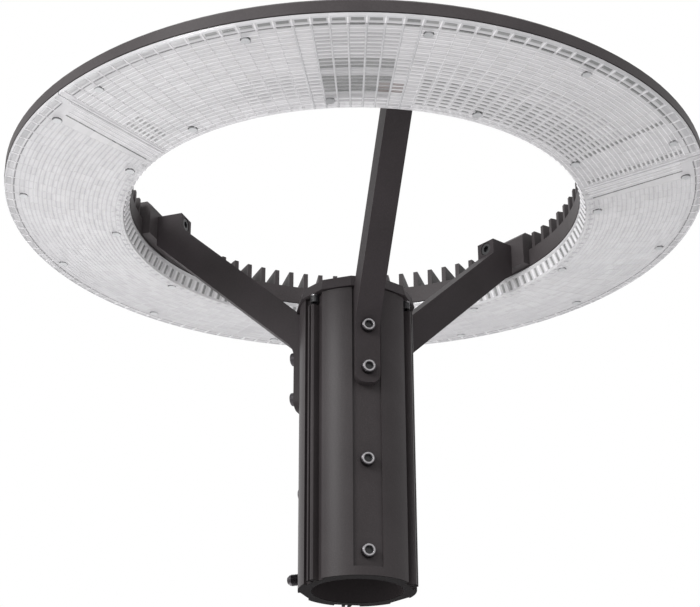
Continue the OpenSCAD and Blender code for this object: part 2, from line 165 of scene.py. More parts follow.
def ramp(tree, factor, stops):
    """A colour ramp between two (position, RGBA) stops."""
    made = add(tree, "ShaderNodeValToRGB", {"Fac": factor})
    for element, (place, colour) in zip(made.color_ramp.elements, stops):
        element.position, element.color = place, colour
    return made.outputs["Color"]


def start_material(name):
    """A new material, with its tree, its object coordinates and its output."""
    material = bpy.data.materials.new(name)
    material.use_nodes = True
    tree = material.node_tree
    tree.nodes.clear()
    output = add(tree, "ShaderNodeOutputMaterial")
    place = add(tree, "ShaderNodeTexCoord").outputs["Object"]
    return material, tree, place, output


print("a finish starts with", start_material.__name__, "and grows with", add.__name__)

# %% [markdown]
# ## Powder-coated metal
# Collar, arms, cap and ring are aluminium with a charcoal polyester powder
# coat. Powder melts into a film with a faint orange-peel skin: broad soft
# highlights, a slightly mottled tone and a fine grain. Each part could have
# a tree of its own, but the real parts come off one paint line, so the same
# tree serves all of them with a different tone, grain and roughness.

# %% Powder coat
MOTTLE_SCALE = 14.0  # patches of about 70 mm, where the film is thicker or thinner
SHADED_BOTTOM_HEIGHT = 0.4 * MM  # how far up the collar the painted shade on its bottom end reaches
COAT_SPECULAR = 0.14  # well under clear resin's 0.5, as the coat is matted


def powder_coat(name, dark, light, rough, peel_mm, bump_mm, shaded_bottom=None):
    """Charcoal powder coat. dark and light are the ends of its mottling.

    peel_mm is the spacing of the orange peel, 1 to 2 mm as on a real coat. The last
    argument is painted shade: a near-black colour for the collar's downward bottom end.
    """
    material, tree, place, output = start_material(name)
    mottle = add(tree, "ShaderNodeTexNoise",
                 {"Vector": place, "Scale": MOTTLE_SCALE, "Detail": 4.0, "Roughness": 0.55})
    grain = add(tree, "ShaderNodeTexNoise",
                {"Vector": place, "Scale": 1 / (peel_mm * MM), "Detail": 2.0})
    tone = ramp(tree, mottle.outputs["Fac"], [(0.3, linear(dark)), (0.7, linear(light))])
    speck = ramp(tree, grain.outputs["Fac"],
                 [(0.35, (0.82, 0.82, 0.82, 1)), (0.65, (1, 1, 1, 1))])
    mixed = add(tree, "ShaderNodeMixRGB", {"Fac": 0.6, "Color1": tone, "Color2": speck},
                blend_type="MULTIPLY")
    # Below that height the coat is painted near black and made fully rough: painted shade on the
    # collar's downward bottom end.
    if shaded_bottom:
        height = add(tree, "ShaderNodeSeparateXYZ", {"Vector": place}).outputs["Z"]
        bottom_shade_mask = add(tree, "ShaderNodeMath", {0: height, 1: SHADED_BOTTOM_HEIGHT}, operation="LESS_THAN")
        mixed = add(tree, "ShaderNodeMixRGB",
                    {"Fac": bottom_shade_mask.outputs[0], "Color1": mixed.outputs["Color"],
                     "Color2": linear(shaded_bottom)})
    gloss = add(tree, "ShaderNodeMapRange",
                {"Value": mottle.outputs["Fac"], "To Min": rough - 0.06,
                 "To Max": rough + 0.06}).outputs["Result"]
    if shaded_bottom:
        gloss = add(tree, "ShaderNodeMath", {0: gloss, 1: bottom_shade_mask.outputs[0]},
                    operation="MAXIMUM").outputs[0]
    bump = add(tree, "ShaderNodeBump",
               {"Height": grain.outputs["Fac"], "Strength": 0.35, "Distance": bump_mm * MM})
    shader = add(tree, "ShaderNodeBsdfPrincipled",
                 {"Base Color": mixed.outputs["Color"], "Roughness": gloss,
                  "Normal": bump.outputs["Normal"], "IOR": 1.5,
                  "Specular IOR Level": COAT_SPECULAR})
    tree.links.new(shader.outputs["BSDF"], output.inputs["Surface"])
    return material


# The extruded collar is the smoothest: a soft bright stripe runs down its round side. Its bottom
# end is painted near black, a painted shade.
COLLAR_COAT = powder_coat("collar_powder_coat", "#353132", "#3d393a", 0.38, 1.2, 0.25,
                          shaded_bottom="#171516")
# The arms are duller, so their flanks stay dark when seen at a slant.
ARM_COAT = powder_coat("arm_powder_coat", "#332f30", "#3b3638", 0.58, 1.2, 0.25)
# The cap's flats each hold one even, slightly different grey.
CAP_COAT = powder_coat("cap_powder_coat", "#353132", "#3d383a", 0.45, 1.2, 0.25)
# Cast metal under the coat gives the ring a coarser skin and a paler, softer tone.
CAST_COAT = powder_coat("cast_ring_powder_coat", "#403c3d", "#4b4748", 0.50, 1.6, 0.4)
print("powder coats:", COLLAR_COAT.name, ARM_COAT.name, CAP_COAT.name, CAST_COAT.name)

# %% [markdown]
# ## Steel, silicone and white paint
# The screws of the feet and the collar are steel in two tones: a dark one,
# painted shade, for the sides, and a bright ring round the key socket, a
# painted highlight. The lens screws are satin stainless steel, and the cap
# and arm-head screws are blackened; the same black is painted shade inside
# each key socket. The gaskets are matt black silicone.
# The reflectors and LED boards are white, because everything behind the lens
# throws light back out. Turning marks could be drawn on each screw, but at
# this size a fine even grain reads the same, and one tree then serves every
# one of these finishes.

# %% A finish with a fine even grain


def speckled(name, dark, light, rough, grain_mm, bump_mm, metallic=0.0):
    """Steel, silicone, white paint or board. grain_mm is the spacing of its grain.

    On steel and silicone the grain is drawn coarser than the real one, which is a
    tenth of a millimetre or less and too fine to show.
    """
    material, tree, place, output = start_material(name)
    grain = add(tree, "ShaderNodeTexNoise",
                {"Vector": place, "Scale": 1 / (grain_mm * MM), "Detail": 3.0})
    tone = ramp(tree, grain.outputs["Fac"], [(0.3, linear(dark)), (0.7, linear(light))])
    gloss = add(tree, "ShaderNodeMapRange",
                {"Value": grain.outputs["Fac"], "To Min": rough - 0.05, "To Max": rough + 0.05})
    bump = add(tree, "ShaderNodeBump",
               {"Height": grain.outputs["Fac"], "Strength": 0.3, "Distance": bump_mm * MM})
    shader = add(tree, "ShaderNodeBsdfPrincipled",
                 {"Base Color": tone, "Roughness": gloss.outputs["Result"],
                  "Normal": bump.outputs["Normal"], "Metallic": metallic})
    tree.links.new(shader.outputs["BSDF"], output.inputs["Surface"])
    return material


# Bright steel as a painted highlight: a crisp light ring round each key socket, and the cap's
# washers.
STEEL_HIGHLIGHT = speckled("stainless_steel", "#8b898b", "#b9b7b9", 0.26, 0.6, 0.05, 1.0)
# Steel with painted shade: the side of a screw head, dark with a narrow glint.
SHADED_STEEL = speckled("shaded_steel", "#3c3a3c", "#555255", 0.34, 0.5, 0.05, 1.0)
# Blackened steel: hardly stands out from the coat round it. Inside the key sockets it is painted
# shade.
BLACK_STEEL_AND_SHADE = speckled("blackened_steel", "#19191b", "#262628", 0.42, 0.6, 0.05)
# Silicone: a deep black line with no shine.
SILICONE = speckled("black_silicone", "#141415", "#1d1d1e", 0.70, 0.8, 0.1)
# Reflector paint: the pale, even ground that shows through the lens.
WHITE_PAINT = speckled("white_reflector_paint", "#dcdcda", "#e8e8e6", 0.55, 2.5, 0.1)
# Satin steel: a pale dot without a sharp highlight on the lens.
SATIN_STEEL = speckled("satin_stainless_steel", "#adaeaf", "#c4c5c6", 0.50, 0.6, 0.05, 1.0)
# Solder mask: a touch whiter and glossier than the reflectors.
BOARD = speckled("white_solder_mask", "#dfdfdc", "#eaeae7", 0.40, 1.2, 0.05)
# Phosphor in resin: small straw-yellow domes.
DIODE = speckled("phosphor_resin", "#ddd3a8", "#e9e0bb", 0.35, 0.8, 0.05)
print("finishes ready:", len(bpy.data.materials))

# %% [markdown]
# ## Clear acrylic
# The lens is injection-moulded acrylic. Seen from below, its prisms scatter
# so much of the light that it reads as a silvery white skin with what lies
# behind it showing through faintly. Real refraction through thousands of
# prisms would take very long to render clean, so the shader lets a share of
# the light straight through and gives the rest a bright, glossy face. Tone
# and gloss vary from cell to cell of the rib grid, as each prism catches a
# different part of the room; that tone is a painted reflection. A faint ripple
# stands for the unevenness of a moulded face. What a prism looks at decides
# how dark it is, so there are seven tones of painted light and shade on one
# acrylic, from the white of a thick rib to the painted shadow of a step.

# %% Acrylic
RIBS_ROUND = 138
RIB_STEP = 360 / RIBS_ROUND  # degrees
RIDGE_STEP = 4.1 * MM
CLOUD_SCALE = 22.0  # drifts of tone about 45 mm across
RIPPLE = 5 * MM


def acrylic(name, dark, light, see_through, rough):
    """Moulded clear acrylic. see_through is the share of light that passes."""
    material, tree, place, output = start_material(name)
    axes = add(tree, "ShaderNodeSeparateXYZ", {"Vector": place})
    radius = add(tree, "ShaderNodeVectorMath",
                 {0: add(tree, "ShaderNodeVectorMath", {0: place, 1: (1, 1, 0)},
                         operation="MULTIPLY").outputs[0]}, operation="LENGTH")
    ring = add(tree, "ShaderNodeMath", {0: radius.outputs["Value"], 1: RIDGE_STEP},
               operation="DIVIDE")
    angle = add(tree, "ShaderNodeMath", {0: axes.outputs["Y"], 1: axes.outputs["X"]},
                operation="ARCTAN2")
    spoke = add(tree, "ShaderNodeMath",
                {0: angle.outputs[0], 1: math.radians(RIB_STEP)}, operation="DIVIDE")
    cell = add(tree, "ShaderNodeCombineXYZ",
               {"X": add(tree, "ShaderNodeMath", {0: ring.outputs[0]},
                         operation="FLOOR").outputs[0],
                "Y": add(tree, "ShaderNodeMath", {0: spoke.outputs[0]},
                         operation="FLOOR").outputs[0]})
    chance = add(tree, "ShaderNodeTexWhiteNoise", {"Vector": cell.outputs[0]},
                 noise_dimensions="3D")
    cloud = add(tree, "ShaderNodeTexNoise",
                {"Vector": place, "Scale": CLOUD_SCALE, "Detail": 3.0})
    blend = add(tree, "ShaderNodeMath",
                {0: chance.outputs["Value"], 1: cloud.outputs["Fac"]}, operation="MULTIPLY")
    # The tone that changes from cell to cell is a painted reflection of the room in each prism.
    tone = ramp(tree, blend.outputs[0], [(0.0, linear(dark)), (0.55, linear(light))])
    gloss = add(tree, "ShaderNodeMapRange",
                {"Value": chance.outputs["Value"], "To Min": rough - 0.02, "To Max": rough + 0.03})
    ripple = add(tree, "ShaderNodeTexNoise",
                 {"Vector": place, "Scale": 1 / RIPPLE, "Detail": 1.0})
    bump = add(tree, "ShaderNodeBump",
               {"Height": ripple.outputs["Fac"], "Strength": 0.25, "Distance": 0.1 * MM})
    shader = add(tree, "ShaderNodeBsdfPrincipled",
                 {"Base Color": tone, "Roughness": gloss.outputs["Result"],
                  "Normal": bump.outputs["Normal"], "IOR": 1.49, "Alpha": 1 - see_through})
    tree.links.new(shader.outputs["BSDF"], output.inputs["Surface"])
    return material


# The plain face: a silvery white skin that the boards just show through.
LENS_FACE = acrylic("clear_acrylic", "#e6e5e7", "#f2f1f3", 0.45, 0.07)
# Thick ribs scatter most: painted light makes them nearly white, and they have the sharpest
# glints.
LENS_RIB = acrylic("clear_acrylic_ribs", "#eeedef", "#f9f8fa", 0.28, 0.05)
# Rounded edges: a little greyer with painted shade, so the pattern has an outline.
LENS_EDGE = acrylic("clear_acrylic_edge", "#cdcdcf", "#dcdcde", 0.40, 0.07)
# Prisms that look past the reflector: light grey, a painted shade.
LENS_SHADE = acrylic("clear_acrylic_shaded", "#bcbcbd", "#d6d5d7", 0.40, 0.07)
# Prisms that look into a gap or a slot: middle grey, a painted shade.
LENS_DEEP = acrylic("clear_acrylic_deep_shade", "#7d807e", "#a6a7a6", 0.40, 0.07)
# Prisms over a wire: the same grey painted shade, with a trace of brown for the wire seen through.
LENS_WIRE = acrylic("clear_acrylic_over_wire", "#8f8785", "#a9a2a0", 0.40, 0.07)
# The step beside the flange: a thin dark line of painted shadow.
LENS_DARK = acrylic("clear_acrylic_step_shadow", "#6b6b6c", "#8f8f90", 0.40, 0.07)
print("acrylic:", LENS_FACE.name, LENS_RIB.name, LENS_SHADE.name, LENS_DEEP.name)

# %% Finish of every solid
# The cap's washers take the bright steel, a painted highlight.
FINISHES = {
    "slip_collar": COLLAR_COAT, "collar_cap": CAP_COAT, "cap_gasket": SILICONE,
    "cap_screws": BLACK_STEEL_AND_SHADE, "cap_washers": STEEL_HIGHLIGHT, "ring_casting": CAST_COAT,
    "outer_gasket": SILICONE, "inner_gasket": SILICONE,
}
for side in SIDES:
    FINISHES.update({
        f"arm_{side}": ARM_COAT, f"foot_screws_{side}": STEEL_HIGHLIGHT,
        f"tenon_screws_{side}": STEEL_HIGHLIGHT, f"head_screw_{side}": BLACK_STEEL_AND_SHADE,
        f"lens_{side}": LENS_FACE, f"lens_screws_{side}": SATIN_STEEL,
        f"reflector_{side}": WHITE_PAINT, f"led_boards_{side}": BOARD,
    })
for name, finish in FINISHES.items():
    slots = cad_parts[name].data.materials
    slots.clear()
    slots.append(finish)
print("solids with a finish:", len(FINISHES), "of", len(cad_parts))

# %% [markdown]
# ## A tree that repeats a piece round the ring
# Ribs, ridges, teeth and diodes all repeat round the same axis. Array
# modifiers could do it, but each would need an empty to turn about, so one
# Geometry Nodes tree makes them all. It lays out a grid of points, rows by
# copies, bends the grid into arcs about the axis, and puts the piece on each
# point, turned to face outwards. It can stretch each copy sideways so that
# short bars meet end to end into a ring at any radius.

# %% The polar grid tree
POLAR_INPUTS = (
    ("Part", "NodeSocketObject", None), ("Finish", "NodeSocketMaterial", None),
    ("Rows", "NodeSocketInt", 1), ("Copies", "NodeSocketInt", 46),
    ("Radius", "NodeSocketFloat", 0.2), ("Row Step", "NodeSocketFloat", 0.004),
    ("Height", "NodeSocketFloat", 0.35), ("Height Step", "NodeSocketFloat", 0.0),
    ("First Angle", "NodeSocketFloat", 0.0), ("Angle Step", "NodeSocketFloat", 0.04),
    ("Tilt", "NodeSocketFloat", 0.0), ("Stretch", "NodeSocketFloat", 0.0),
)


def polar_tree():
    """The tree, with the identifier of each named input."""
    tree = bpy.data.node_groups.new("polar_grid", "GeometryNodeTree")
    tree.interface.new_socket("Geometry", in_out="OUTPUT", socket_type="NodeSocketGeometry")
    ids = {}
    for name, kind, value in POLAR_INPUTS:
        socket = tree.interface.new_socket(name, in_out="INPUT", socket_type=kind)
        if value is not None:
            socket.default_value = value
        ids[name] = socket.identifier
    given = add(tree, "NodeGroupInput").outputs

    def maths(operation, a, b=0.0):
        """One step of arithmetic on numbers or sockets."""
        return add(tree, "ShaderNodeMath", {0: a, 1: b}, operation=operation).outputs[0]

    index = add(tree, "GeometryNodeInputIndex").outputs[0]
    total = maths("MULTIPLY", given["Rows"], given["Copies"])
    points = add(tree, "GeometryNodePoints", {"Count": total})
    row = maths("FLOOR", maths("DIVIDE", maths("ADD", index, 0.5), given["Copies"]))
    copy = maths("SUBTRACT", index, maths("MULTIPLY", row, given["Copies"]))
    radius = maths("ADD", given["Radius"], maths("MULTIPLY", row, given["Row Step"]))
    height = maths("ADD", given["Height"], maths("MULTIPLY", row, given["Height Step"]))
    angle = maths("ADD", given["First Angle"], maths("MULTIPLY", copy, given["Angle Step"]))
    place = add(tree, "ShaderNodeCombineXYZ",
                {"X": maths("MULTIPLY", radius, maths("COSINE", angle)),
                 "Y": maths("MULTIPLY", radius, maths("SINE", angle)), "Z": height})
    moved = add(tree, "GeometryNodeSetPosition",
                {"Geometry": points.outputs[0], "Position": place.outputs[0]})
    turn = add(tree, "ShaderNodeCombineXYZ", {"Y": given["Tilt"], "Z": angle})
    # A stretch of 1 widens a copy by its radius in metres, and 0 leaves it alone.
    wide = maths("ADD", 1.0, maths("MULTIPLY", given["Stretch"],
                                  maths("SUBTRACT", radius, 1.0)))
    size = add(tree, "ShaderNodeCombineXYZ", {"X": 1.0, "Y": wide, "Z": 1.0})
    part = add(tree, "GeometryNodeObjectInfo", {"Object": given["Part"]})
    copies = add(tree, "GeometryNodeInstanceOnPoints",
                 {"Points": moved.outputs[0], "Instance": part.outputs["Geometry"],
                  "Rotation": turn.outputs[0], "Scale": size.outputs[0]})
    real = add(tree, "GeometryNodeRealizeInstances", {"Geometry": copies.outputs[0]})
    finished = add(tree, "GeometryNodeSetMaterial",
                   {"Geometry": real.outputs[0], "Material": given["Finish"]})
    result = add(tree, "NodeGroupOutput")
    tree.links.new(finished.outputs[0], result.inputs["Geometry"])
    return tree, ids


POLAR, POLAR_IDS = polar_tree()
print("polar grid inputs:", ", ".join(POLAR_IDS))


def new_object(name, mesh):
    """Links a mesh into the scene as an object."""
    made = bpy.data.objects.new(name, mesh)
    bpy.context.scene.collection.objects.link(made)
    return made


def repeat(name, part, **inputs):
    """Runs the polar grid tree and returns its result as one plain mesh object."""
    host = new_object(name, bpy.data.meshes.new(name))
    modifier = host.modifiers.new("polar_grid", "NODES")
    modifier.node_group = POLAR
    for key, value in inputs.items():
        modifier[POLAR_IDS[key.replace("_", " ").title()]] = value
    modifier[POLAR_IDS["Part"]] = part
    bpy.context.view_layer.update()
    graph = bpy.context.evaluated_depsgraph_get()
    mesh = bpy.data.meshes.new_from_object(host.evaluated_get(graph))
    host.modifiers.remove(modifier)
    host.data = mesh
    return host


def keep(piece, slot, *replaced):
    """Attaches a finished piece to the root body and hides the solids it stands for. slot, its
    finish, is not used.
    """
    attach(piece, "root")
    if replaced:
        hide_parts(*replaced)
    print(piece.name, len(piece.data.polygons), "faces")


print("inputs that each run can set:", len(POLAR_IDS))

# %% [markdown]
# ## Bars with a rounded back
# Every rib and ridge on the lens is a low bar with a rounded back, as a
# mould cutter leaves it. A bevelled curve could draw one, but in mesh code a
# bar has only nine faces, and it is repeated thousands of times. The pattern
# bar lies along X (radially) or along Y (round the ring) and stands down from
# the face.

# %% Pattern bars
BAR_OUTLINE = ((-0.5, 0.15), (-0.5, -0.35), (-0.28, -0.85), (0, -1),
               (0.28, -0.85), (0.5, -0.35), (0.5, 0.15))  # shares of width and depth


def bar(name, length, width, depth, along="X"):
    """A bar from 0 to length along X, or centred along Y, that stands down from z = 0."""
    mesh = bpy.data.meshes.new(name)
    shape = bmesh.new()
    ends = (0, length) if along == "X" else (-length / 2, length / 2)
    loops = []
    for end in ends:
        loops.append([shape.verts.new((end, side * width, down * depth) if along == "X"
                                      else (side * width, end, down * depth))
                      for side, down in BAR_OUTLINE])
    count = len(BAR_OUTLINE)
    for i in range(count):
        j = (i + 1) % count
        shape.faces.new((loops[0][i], loops[0][j], loops[1][j], loops[1][i]))
    for loop in loops:
        shape.faces.new(loop)
    bmesh.ops.recalc_face_normals(shape, faces=shape.faces)
    shape.to_mesh(mesh)
    shape.free()
    return new_object(name, mesh)


print("faces in a bar:", len(BAR_OUTLINE) + 2)

# %% One call for each kind of moulded detail
FACE_TILT = -math.atan(FACE_SLOPE)
FACE_LENGTH = math.hypot(FACE_OUT_R - FACE_IN_R, FACE_OUT_Z - FACE_IN_Z)
COPIES = RIBS_ROUND // len(SIDES)
STEP = math.radians(RIB_STEP)
CELL = 2 * math.tan(STEP / 2)  # a cell's width as a share of its radius


def first_angle(side, cell):
    """Angle from +X, in radians, some cells past the first rib of a segment."""
    return (math.radians(ARM_ANGLES[side] + FRONT_HEADING - SEGMENT / 2)
            + STEP * (0.5 + cell))


def mould(kind, part, sides, finish, slot="lens_acrylic", cell=0, **grid):
    """Repeats a pattern piece on the given lens segments, then removes it."""
    for side in sides:
        settings = {"rows": 1, "copies": COPIES, "angle_step": STEP, "tilt": FACE_TILT,
                    "height": face_z(grid["radius"]), "row_step": 0.0,
                    "height_step": grid.get("row_step", 0.0) * FACE_SLOPE,
                    "first_angle": first_angle(side, cell)}
        settings.update(grid)
        keep(repeat(f"{kind}_{side}", part, finish=finish, **settings), slot)
    bpy.data.objects.remove(part)


print("ribs to a segment:", COPIES, "step", round(RIB_STEP, 3), "degrees")

# %% Radial ribs and the ridges that cross them
RIDGES = 23
END_CELLS = 2  # cells that stay plain beside the front segment's seams


def ribs(kind, width, depth, side, finish, first, count):
    """Radial ribs on one segment, from the given rib on."""
    mould(kind, bar("rib_pattern", FACE_LENGTH - 2 * MM, width, depth), (side,), finish,
          radius=FACE_IN_R + MM, cell=first, copies=count)


def ridges(kind, width, depth, side, finish, first, count):
    """Rings of ridges on one segment, over the given cells."""
    mould(kind, bar("ridge_pattern", CELL, width, depth, "Y"), (side,), finish,
          rows=RIDGES, copies=count, cell=0.5 + first, radius=FACE_IN_R + 3 * MM,
          row_step=RIDGE_STEP, stretch=1.0)


ribs("lens_ribs", 0.9 * MM, 0.6 * MM, "front", LENS_FACE, 0, COPIES)
ribs("gap_ribs", 1.9 * MM, 0.75 * MM, "front", LENS_EDGE, 15, 8)
ridges("lens_ridges", 1.1 * MM, 0.45 * MM, "front", LENS_RIB, 0, COPIES - 1)
for side, first in (("right", END_CELLS), ("left", 0)):
    ribs("lens_ribs", 0.7 * MM, 0.3 * MM, side, LENS_FACE, first, COPIES - END_CELLS)
    ridges("lens_ridges", 1.1 * MM, 0.3 * MM, side, LENS_EDGE, first, COPIES - 1 - END_CELLS)

# %% [markdown]
# ## Shaded prisms
# A prism shows dark where it bends the view past the white reflector into
# the gap between two LED boards, onto a wire there, or into the shadow beside
# a seam. That dark is painted shade: those prisms are short bars set between
# the ribs, in a darker acrylic, so that they keep some relief. Other stretches
# of the front segment get such bars of painted shade as well.

# %% Shaded prisms over the board gap and beside it
ROW_IN = FACE_IN_R + 5.05 * MM  # middle of the innermost row, between two ridges
GAP_CELLS = (16, 5)
# Name, finish, first cell and cells, first row and rows, share of a cell that a bar
# spans, then its width and depth in millimetres.
SHADED = (
    ("board_gap_inner", LENS_SHADE, GAP_CELLS, (1, 3), 0.80, 2.0, 0.35),
    ("board_gap_middle", LENS_DEEP, GAP_CELLS, (4, 5), 0.84, 2.1, 0.35),
    ("board_gap_outer", LENS_DEEP, GAP_CELLS, (11, 3), 0.84, 2.3, 0.35),
    ("board_gap_edge", LENS_SHADE, GAP_CELLS, (9, 2), 0.84, 2.8, 0.35),
    ("board_gap_rim", LENS_SHADE, GAP_CELLS, (14, 7), 0.80, 1.8, 0.35),
    ("gap_ridges", LENS_SHADE, GAP_CELLS, (2.5, 11), 0.84, 1.2, 0.52),
    ("gap_ridges_middle", LENS_DEEP, GAP_CELLS, (4.5, 4), 0.84, 0.9, 0.56),
    ("wire_prisms", LENS_WIRE, (20, 2), (4, 3), 0.80, 2.9, 0.45),
    ("near_prisms_right", LENS_DEEP, (23, 18), (1, 8), 0.58, 1.1, 0.35),
    ("outer_prisms_right", LENS_SHADE, (21, 20), (9, 5), 0.66, 0.8, 0.35),
    ("near_prisms_left", LENS_SHADE, (10, 6), (3, 7), 0.60, 0.9, 0.35),
    ("seam_prisms_middle", LENS_DEEP, (40, 1), (4, 18), 0.36, 2.0, 0.35),
    ("seam_prisms_right", LENS_DEEP, (44, 1), (1, 21), 0.40, 1.8, 0.35),
    ("seam_prisms_left", LENS_DEEP, (0, 2), (3, 8), 0.36, 1.6, 0.35),
)
for kind, finish, (first_cell, cells), (first_row, rows), share, width, depth in SHADED:
    mould(kind, bar(kind + "_pattern", share * CELL, width * MM, depth * MM, "Y"),
          ("front",), finish, rows=rows, copies=cells, cell=0.5 + first_cell,
          radius=ROW_IN + first_row * RIDGE_STEP, row_step=RIDGE_STEP, stretch=1.0)

# %% [markdown]
# ## Flange, rim bead and seams
# The flange that clamps under the casting is divided into shallow pockets,
# one to each rib, with a rounded bead along its edge and a small step along
# its inside, whose shadow is painted as a broken dark line. Real pockets could
# be cut into the lens, but the frame's solids stay as they are, so the pockets
# are low bars between raised ribs, darker with painted shade, and on the front
# segment a deeper painted shadow. A low wall closes each end of a segment.
# Beside the front segment's seams each outer segment has a plain strip with
# three fine ribs, closed by one dark line of painted shade.

# %% Flange pockets, their ribs and the rim bead
FLANGE_TILT = -math.atan(FLANGE_SLOPE)
mould("flange_pockets", bar("pocket_pattern", 0.74 * CELL, 4.4 * MM, 0.25 * MM, "Y"), SIDES,
      LENS_SHADE, copies=COPIES - 1, cell=0.5, radius=FACE_OUT_R + 3.6 * MM,
      tilt=FLANGE_TILT, stretch=1.0)
mould("pocket_shadow", bar("pocket_shadow_pattern", 0.68 * CELL, 3.4 * MM, 0.32 * MM, "Y"),
      ("front",), LENS_DEEP, copies=30, cell=9.5, radius=FACE_OUT_R + 3.9 * MM,
      tilt=FLANGE_TILT, stretch=1.0)
mould("flange_ribs", bar("flange_rib_pattern", 7.0 * MM, 1.6 * MM, 0.8 * MM), SIDES,
      LENS_RIB, radius=FACE_OUT_R + 0.3 * MM, tilt=FLANGE_TILT)
mould("rim_bead", bar("bead_pattern", CELL, 1.4 * MM, 0.8 * MM, "Y"), SIDES, LENS_EDGE,
      copies=COPIES - 1, cell=0.5, radius=FLANGE_R - 0.9 * MM, tilt=FLANGE_TILT, stretch=1.0)

# %% The broken dark line of the step inside the flange: its painted shadow
mould("step_shadow", bar("step_pattern", 0.84 * CELL, 1.2 * MM, 0.3 * MM, "Y"), SIDES,
      LENS_DARK, copies=COPIES - 1, cell=0.5, radius=FACE_OUT_R - 0.9 * MM, stretch=1.0)
mould("step_dashes", bar("step_dash_pattern", 0.80 * CELL, 2.2 * MM, 0.34 * MM, "Y"),
      ("front",), LENS_DEEP, copies=27, cell=14.5, radius=FACE_OUT_R - 1.5 * MM, stretch=1.0)

# %% The plain strip beside the front segment's seams


def beside_seam(kind, length, width, depth, finish, gap, start):
    """One bar parallel to each front seam, at a gap from it, on the outer segments."""
    for side, edge, away in (("right", -0.5, gap), ("left", COPIES - 0.5, -gap)):
        part = bar(kind + "_pattern", length, width, depth)
        part.data.transform(Matrix.Translation((0, away, 0)))
        mould(kind, part, (side,), finish, copies=1, cell=edge, radius=start)


beside_seam("seam_strip_line", 82 * MM, 1.4 * MM, 0.4 * MM, LENS_DEEP, 19.5 * MM,
            FACE_IN_R + 6 * MM)
for kind, gap in (("strip_rib_inner", 5 * MM), ("strip_rib_middle", 9 * MM),
                  ("strip_rib_outer", 14 * MM)):
    beside_seam(kind, 84 * MM, 1.0 * MM, 0.4 * MM, LENS_RIB, gap, FACE_IN_R + 4 * MM)

# %% The low wall at each end of a segment
WALL_INSET = 0.45  # degrees from the segment's end to the middle of its wall
mould("seam_walls", bar("seam_wall_pattern", 92 * MM, 1.8 * MM, 0.9 * MM), SIDES, LENS_RIB,
      copies=2, cell=-0.5 + WALL_INSET / RIB_STEP, radius=FACE_IN_R + 3 * MM,
      angle_step=math.radians(SEGMENT - 2 * WALL_INSET))

# %% [markdown]
# ## The inner wall
# The lens turns up towards the casting at the opening. That wall carries a
# row of teeth, one to each rib, with painted shade in the slots between them,
# and on the outer segments the face has a row of short slots beside it, also
# darker with painted shade. A bump pattern could stand for them, but the teeth
# show in outline along the edge, so they are bars too, laid along the leaning
# wall.

# %% Teeth and slots on the inner wall
WALL_TOP_R, WALL_TOP_Z = OPENING_R + 0.5 * MM, inner_low.z - 1.5 * MM
WALL_TILT = math.atan2(WALL_TOP_Z - FACE_IN_Z, FACE_IN_R - WALL_TOP_R)
WALL_LENGTH = math.hypot(WALL_TOP_Z - FACE_IN_Z, FACE_IN_R - WALL_TOP_R)


def wall_place(along):
    """Radius and height on the inner wall, at a distance down from its top."""
    share = along / WALL_LENGTH
    return {"radius": WALL_TOP_R + share * (FACE_IN_R - WALL_TOP_R),
            "height": WALL_TOP_Z + share * (FACE_IN_Z - WALL_TOP_Z)}


mould("wall_slots", bar("slot_pattern", 9.0 * MM, 2.9 * MM, 0.3 * MM), SIDES, LENS_DEEP,
      tilt=WALL_TILT, **wall_place(2.6 * MM))
mould("wall_teeth", bar("tooth_pattern", 9.6 * MM, 3.0 * MM, 1.3 * MM), SIDES, LENS_RIB,
      cell=0.42, copies=COPIES - 1, tilt=WALL_TILT, **wall_place(2.4 * MM))
mould("face_slots", bar("face_slot_pattern", 4.6 * MM, 2.6 * MM, 0.3 * MM),
      ("right", "left"), LENS_SHADE, cell=0.5, copies=COPIES - 1, radius=FACE_IN_R + 1.6 * MM)
print("wall leans", round(math.degrees(WALL_TILT), 1), "degrees")

# %% [markdown]
# ## Turned pieces
# Screws, sealing rings and diodes are turned shapes: an outline of places
# along an axis and radii round it. Blender's Screw modifier could turn one,
# but it can't change from a circle to a hexagon on the way, so they are made
# in mesh code. There a radius can also stand for a hexagon across its flats,
# which is how a screw gets its key socket, or for the knurled side of a
# socket head, where every second edge is let in a little.

# %% A turned shape
SEGMENTS = 24
KNURL = 0.14 * MM


def ring_radius(index, radius, form):
    """Radius of one point of a loop: round, knurled or hexagonal."""
    if form == "knurled":
        return radius - KNURL * (index % 2)
    if form == "hexagon":
        angle = (360 * index / SEGMENTS) % 60
        return radius / math.cos(math.radians(angle - 30))
    return radius


def turned(shape, outline, move):
    """Adds a closed shape to a bmesh, turned about X, then moved by a matrix."""
    loops = []
    for place, radius, *form in outline:
        count = SEGMENTS if radius > 0 else 1
        form = form[0] if form else "round"
        loop = []
        for i in range(count):
            size = ring_radius(i, radius, form) if radius > 0 else 0
            turn = math.tau * i / SEGMENTS
            loop.append(shape.verts.new(move @ Vector(
                (place, size * math.cos(turn), size * math.sin(turn)))))
        loops.append(loop)
    for low, high in zip(loops, loops[1:]):
        for i in range(SEGMENTS):
            j = (i + 1) % SEGMENTS
            corners = [low[i % len(low)], low[j % len(low)],
                       high[j % len(high)], high[i % len(high)]]
            corners = list(dict.fromkeys(corners))
            if len(corners) > 2:
                shape.faces.new(corners)


def turned_piece(name, parts, finish):
    """One object from several turned shapes, each an outline and a matrix."""
    shape = bmesh.new()
    for outline, move in parts:
        turned(shape, outline, move)
    bmesh.ops.recalc_face_normals(shape, faces=shape.faces)
    mesh = bpy.data.meshes.new(name)
    shape.to_mesh(mesh)
    shape.free()
    mesh.materials.append(finish)
    return new_object(name, mesh)


